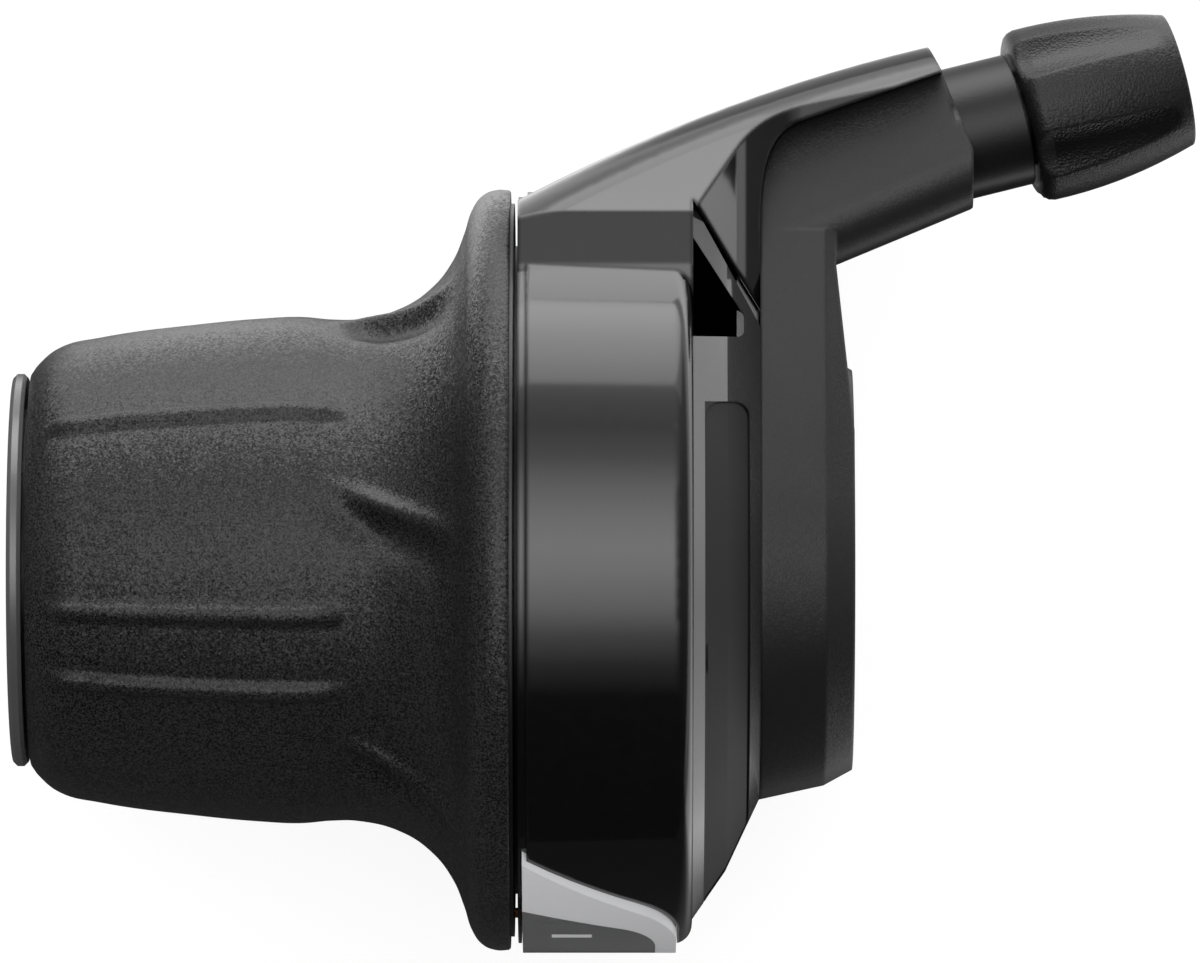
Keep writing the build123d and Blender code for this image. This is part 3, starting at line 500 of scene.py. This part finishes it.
def smoked_clear():
    """Smoked clear plastic of the display window, with faint haze on its face."""
    material, tree, links = new_material("smoked window")
    shader = tree["Principled BSDF"]
    shader.inputs["Transmission Weight"].default_value = 0.86
    shader.inputs["IOR"].default_value = 1.49
    grain = tree.new("ShaderNodeGroup")
    grain.node_tree = GRAIN
    grain.inputs["Grain Size"].default_value = 700
    grain.inputs["Depth"].default_value = 0.01
    grain.inputs["Edge"].default_value = 0.1 * MM
    colour = tree.new("ShaderNodeMix")
    colour.data_type = "RGBA"
    colour.inputs["A"].default_value = (0.90, 0.90, 0.91, 1)
    colour.inputs["B"].default_value = (0.95, 0.95, 0.96, 1)
    smoke = tree.new("ShaderNodeVolumeAbsorption")
    smoke.inputs["Color"].default_value = (0.05, 0.05, 0.05, 1)
    smoke.inputs["Density"].default_value = 600
    links.new(smoke.outputs["Volume"], tree["Material Output"].inputs["Volume"])
    haze = tree.new("ShaderNodeMapRange")
    haze.inputs["To Min"].default_value = 0.04
    haze.inputs["To Max"].default_value = 0.09
    links.new(grain.outputs["Patch"], colour.inputs["Factor"])
    links.new(grain.outputs["Patch"], haze.inputs["Value"])
    links.new(colour.outputs["Result"], shader.inputs["Base Color"])
    links.new(haze.outputs["Result"], shader.inputs["Roughness"])
    links.new(grain.outputs["Normal"], shader.inputs["Normal"])
    return material


smoked_window = smoked_clear()

node_finishes = {
    "clamp_base": matte_black,
    "main_cover": gloss_black,
    "cone_cover": cone_black,
    "display_bezel": bezel_grey,
    "display_window": smoked_window,
    "gear_scale": scale_dark,
    "indicator_needle": needle_orange,
    "grip_sleeve": sleeve_black,
    "grip_rubber": rubber_black,
    "cable_spool": spool_white,
    "thrust_washer": spool_white,
    "retaining_ring": ring_grey,
    "click_spring": spring_steel,
    "spring_posts": screw_steel,
    "clamp_bush": bush_brass,
    "clamp_screw": screw_steel,
    "cover_screws": screw_steel,
    "cable_guide": liner_black,
    "adjuster_sleeve": satin_black,
    "adjuster_spring": spring_steel,
    "adjuster_screw": screw_alloy,
    "adjuster_knob": knob_black,
    "casing_seat": screw_alloy,
}
for node, material in node_finishes.items():
    nodes[node].data.materials.clear()
    nodes[node].data.materials.append(material)


def rib_rise(angle, along):
    """Height of the nearest rib."""
    run = smooth_step(*RIB_START, along) * (1 - smooth_step(*RIB_STOP, along))
    nearest = min(abs(turn_between(angle, rib)) for rib in RIB_ANGLES)
    across = radians(nearest) * RIB_CIRCLE
    return RIB_HEIGHT * run * (1 - smooth_step(RIB_HALF - RIB_SOFT, RIB_HALF + RIB_SOFT, across))


def scoop_rise(angle, along):
    """Height of the nearest slanted ridge, less the depth of the scoop beside it."""
    run = smooth_step(*SCOOP_START, along) * (1 - smooth_step(*SCOOP_STOP, along))
    ridge = RIDGE_TURN - RIDGE_SLANT * (along - RIDGE_ROOT)
    off = turn_between(angle, ridge, 360 / SCOOP_COUNT)
    crest = RIDGE_HEIGHT * exp(-(off / RIDGE_HALF) ** 2)
    scoop = SCOOP_DEPTH * exp(-((off + SCOOP_ASIDE) / SCOOP_HALF) ** 2)
    return run * (crest - scoop)


def rubber_grip():
    """Moulded grip: waisted barrel, ribs, slanted finger scoops and the flared flange."""
    shape = curve_profile(RUBBER_OUTSIDE)
    outer = sorted(shape.verts, key=lambda vert: vert.co.x)
    last = outer[-1]
    for along, out in RUBBER_INSIDE:
        vert = shape.verts.new((along * MM, out * MM, 0))
        shape.edges.new((last, vert))
        last = vert
    shape.edges.new((last, outer[0]))
    bmesh.ops.spin(
        shape, geom=shape.verts[:] + shape.edges[:], cent=(0, 0, 0), axis=(1, 0, 0), angle=2 * pi,
        steps=SPIN_STEPS, use_merge=True,
    )
    for vert in shape.verts:
        out = hypot(vert.co.y, vert.co.z)
        along = vert.co.x / MM
        if out < RELIEF_FLOOR * MM or along > RELIEF_END:
            continue
        angle = degrees(atan2(vert.co.y, vert.co.z))
        rise = rib_rise(angle, along) + scoop_rise(angle, along)
        vert.co.y += rise * MM * vert.co.y / out
        vert.co.z += rise * MM * vert.co.z / out
    piece = new_piece("rubber_grip", shape, "twist_grip", rubber_black)
    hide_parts("grip_rubber")
    return piece


rubber_grip()


def barrel_radius(run):
    """The knob's radius at a distance from its shoulder."""
    return KNOB_RADIUS + KNOB_SLOPE * run + KNOB_CURVE * run * run


def flute_drop(angle, run):
    """How deep a flute is below the barrel: open at the arm's end, running out at the casing's end."""
    off = abs(turn_between(angle, FLUTE_TURN, 360 / FLUTE_COUNT))
    half = FLUTE_HALF * (1 - FLUTE_TAPER * run)
    if off >= half or run > FLUTE_LENGTH:
        return 0
    return FLUTE_DEPTH * (1 - run / FLUTE_LENGTH) ** FLUTE_FALL * (1 - (off / half) ** 2)


def knob_profile():
    """The knob's half section, along its line and out from it, round from the mouth of its pocket."""
    profile = [(KNOB_FACE, POCKET_RADIUS)]
    profile += [(along * MM, out * MM) for along, out in KNOB_SHOULDER]
    for step in range(KNOB_STEPS + 1):
        run = KNOB_LENGTH * step / KNOB_STEPS
        profile.append((KNOB_START + run - KNOB_SKIN, barrel_radius(run) - KNOB_SKIN))
    profile.append((KNOB_START + KNOB_LENGTH - KNOB_SKIN, SEAT_RADIUS))
    profile += [(SEAT_START, SEAT_RADIUS), (SEAT_START, THREAD_RADIUS)]
    profile += [(POCKET_END, THREAD_RADIUS), (POCKET_END, POCKET_RADIUS)]
    return profile


def fluted_knob():
    """Barrel knob with broad crisp flutes, hollow for the neck, the screw and the casing's seat."""
    upright = Vector((0, 0, 1))
    front = (upright - upright.dot(ADJUSTER_LINE) * ADJUSTER_LINE).normalized()
    above = front.cross(ADJUSTER_LINE)
    shape = bmesh.new()
    section = []
    for along, out in knob_profile():
        section.append(shape.verts.new(ADJUSTER_ROOT + along * ADJUSTER_LINE + out * front))
    for one, other in zip(section, section[1:] + section[:1]):
        shape.edges.new((one, other))
    bmesh.ops.spin(
        shape, geom=shape.verts[:] + shape.edges[:], cent=ADJUSTER_ROOT, axis=ADJUSTER_LINE, angle=2 * pi,
        steps=SPIN_STEPS, use_merge=True,
    )
    for vert in shape.verts:
        reach = vert.co - ADJUSTER_ROOT
        aside = reach - reach.dot(ADJUSTER_LINE) * ADJUSTER_LINE
        if aside.length < FLUTE_FLOOR:
            continue
        angle = degrees(atan2(aside.dot(above), aside.dot(front)))
        run = max(0, reach.dot(ADJUSTER_LINE) - KNOB_START)
        out = barrel_radius(run) - KNOB_SKIN - flute_drop(angle, run)
        if aside.length > out:
            vert.co += (out - aside.length) * aside.normalized()
    piece = new_piece("fluted_knob", shape, "barrel_adjuster", knob_black)
    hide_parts("adjuster_knob")
    return piece


fluted_knob()


def gear_figures():
    """Plain figures 1 to 3, one by one round the window, with their tops towards the grip."""
    whole = bmesh.new()
    for figure, turn in FIGURES:
        curve = bpy.data.curves.new("figure", "FONT")
        curve.body = figure
        curve.align_x = "CENTER"
        curve.align_y = "CENTER"
        curve.size = FIGURE_FONT
        curve.extrude = FIGURE_THICKNESS / 2
        curve.offset = FIGURE_BOLD
        holder = bpy.data.objects.new("figure", curve)
        scene.collection.objects.link(holder)
        bpy.context.view_layer.update()
        mesh = bpy.data.meshes.new_from_object(holder)
        bpy.data.objects.remove(holder)
        flat = bmesh.new()
        flat.from_mesh(mesh)
        bpy.data.meshes.remove(mesh)
        bmesh.ops.subdivide_edges(flat, edges=flat.edges[:], cuts=2)
        for vert in flat.verts:
            bend = radians(turn) - vert.co.x / FIGURE_RADIUS
            out = FIGURE_RADIUS + FIGURE_THICKNESS / 2 + vert.co.z
            vert.co = (FIGURE_MIDDLE - vert.co.y, -out * sin(bend), out * cos(bend))
        part = bpy.data.meshes.new("figure")
        flat.to_mesh(part)
        flat.free()
        whole.from_mesh(part)
        bpy.data.meshes.remove(part)
    return new_piece("gear_figures", whole, "housing", figure_white, smooth=False)


gear_figures()


def soft_light(name, place, aim, size, power):
    """A soft oblong lamp that faces a point."""
    lamp = bpy.data.lights.new(name, "AREA")
    lamp.shape = "RECTANGLE"
    lamp.size, lamp.size_y = size
    lamp.energy = power
    holder = bpy.data.objects.new(name, lamp)
    scene.collection.objects.link(holder)
    holder.location = place
    holder.rotation_euler = (Vector(aim) - Vector(place)).to_track_quat("-Z", "Y").to_euler()
    return holder


def glow_ramp(tree, stops):
    """A grey ramp through (place, level) stops that start at 0 and end at 1."""
    ramp = tree.new("ShaderNodeValToRGB")
    elements = ramp.color_ramp.elements
    for place, _ in stops[1:-1]:
        elements.new(place)
    for element, (place, level) in zip(elements, stops):
        element.position = place
        element.color = (level, level, level, 1)
    return ramp


def pale_floor():
    """Plain white floor with the object's soft shadow; in reflections a card that glows with painted light,
    painted shadows and a darker colour.
    """
    shape = bmesh.new()
    bmesh.ops.create_circle(shape, cap_ends=True, segments=FLOOR_SIDES, radius=FLOOR_RADIUS)
    bmesh.ops.translate(shape, verts=shape.verts[:], vec=(0, 0, FLOOR_HEIGHT))
    mesh = bpy.data.meshes.new("floor")
    shape.to_mesh(mesh)
    shape.free()
    floor = bpy.data.objects.new("floor", mesh)
    scene.collection.objects.link(floor)
    material, tree, links = new_material("white floor")
    shader = tree["Principled BSDF"]
    shader.inputs["Roughness"].default_value = FLOOR_ROUGH
    shader.inputs["Emission Color"].default_value = (1, 1, 1, 1)
    spot = tree.new("ShaderNodeTexCoord").outputs["Object"]
    lean = vector_calc(tree, links, "DOT_PRODUCT", spot, (*FLOOR_LEAN, 0)).outputs["Value"]
    depth = FLOOR_FAR - FLOOR_NEAR
    reach = calc(tree, links, "DIVIDE", calc(tree, links, "SUBTRACT", lean, FLOOR_NEAR), depth)
    stops = [((far * MM - FLOOR_NEAR) / depth, level / FLOOR_PEAK) for far, level in FLOOR_GLOW]
    card = glow_ramp(tree, stops)
    links.new(reach, card.inputs["Fac"])
    level = calc(tree, links, "MULTIPLY", card.outputs["Color"], FLOOR_PEAK)
    for centre, share, core, rim, left in FLOOR_PAINTED_SHADOWS:
        offset = vector_calc(tree, links, "SUBTRACT", spot, (*centre, 0)).outputs["Vector"]
        squeezed = vector_calc(tree, links, "MULTIPLY", offset, (*share, 0)).outputs["Vector"]
        away = vector_calc(tree, links, "LENGTH", squeezed).outputs["Value"]
        level = calc(tree, links, "MULTIPLY", level, fade(tree, links, away, core, rim, left))
    split = tree.new("ShaderNodeSeparateXYZ")
    links.new(spot, split.inputs["Vector"])
    right = fade(tree, links, split.outputs["X"], *FLOOR_RIGHT, 1.0, FLOOR_RIGHT_SHARE)
    level = calc(tree, links, "MULTIPLY", level, right)
    # Only reflections see the painted glow, its painted shadows and the darker floor colour; the camera and
    # diffuse light see plain white
    path = tree.new("ShaderNodeLightPath")
    mirrored = calc(tree, links, "MULTIPLY", level, path.outputs["Is Glossy Ray"])
    plain = calc(tree, links, "SUBTRACT", 1, path.outputs["Is Glossy Ray"])
    glow = calc(tree, links, "MULTIPLY_ADD", plain, FLOOR_WHITE, mirrored)
    base = calc(tree, links, "MULTIPLY_ADD", plain, FLOOR_BASE - FLOOR_DIM, FLOOR_DIM)
    links.new(glow, shader.inputs["Emission Strength"])
    links.new(base, shader.inputs["Base Color"])
    mesh.materials.append(material)


def studio_world():
    """White for the camera; the object sees a soft box in front, a bright far wall and a dim rider's side."""
    world = bpy.data.worlds.new("studio")
    scene.world = world
    world.use_nodes = True
    tree, links = world.node_tree.nodes, world.node_tree.links
    backdrop = tree["Background"]
    split = tree.new("ShaderNodeSeparateXYZ")
    links.new(tree.new("ShaderNodeTexCoord").outputs["Generated"], split.inputs["Vector"])
    height = calc(tree, links, "MULTIPLY_ADD", split.outputs["Y"], 0.5, 0.5)
    wall = glow_ramp(tree, [((upward + 1) / 2, level / WALL_PEAK) for upward, level in WALL_GLOW])
    front = glow_ramp(tree, [((upward + 1) / 2, level / FRONT_PEAK) for upward, level in FRONT_GLOW])
    links.new(height, wall.inputs["Fac"])
    links.new(height, front.inputs["Fac"])
    aside = calc(tree, links, "ABSOLUTE", split.outputs["X"])
    across = fade(tree, links, aside, FRONT_CORE, FRONT_RIM, FRONT_PEAK, 0.0)
    box = calc(tree, links, "MULTIPLY", front.outputs["Color"], across)
    room = calc(tree, links, "MULTIPLY_ADD", wall.outputs["Color"], WALL_PEAK, box)
    level = tree.new("ShaderNodeMix")
    level.data_type = "FLOAT"
    level.inputs["B"].default_value = 1
    links.new(room, level.inputs["A"])
    links.new(tree.new("ShaderNodeLightPath").outputs["Is Camera Ray"], level.inputs["Factor"])
    backdrop.inputs["Color"].default_value = (1, 1, 1, 1)
    links.new(level.outputs["Result"], backdrop.inputs["Strength"])


def photo_camera():
    """Camera straight above the bar, as the photograph was taken."""
    camera = bpy.data.cameras.new("camera")
    camera.lens = LENS
    camera.sensor_width = SENSOR
    camera.clip_end = CAMERA_REACH
    holder = bpy.data.objects.new("camera", camera)
    scene.collection.objects.link(holder)
    holder.location = (*PICTURE_CENTRE, PICTURE_WIDTH * LENS / SENSOR)
    scene.camera = holder


pale_floor()
studio_world()
photo_camera()
soft_light("top softbox", LAMP_PLACE, LAMP_AIM, LAMP_SIZE, LAMP_POWER)
scene.view_settings.view_transform = "Standard"
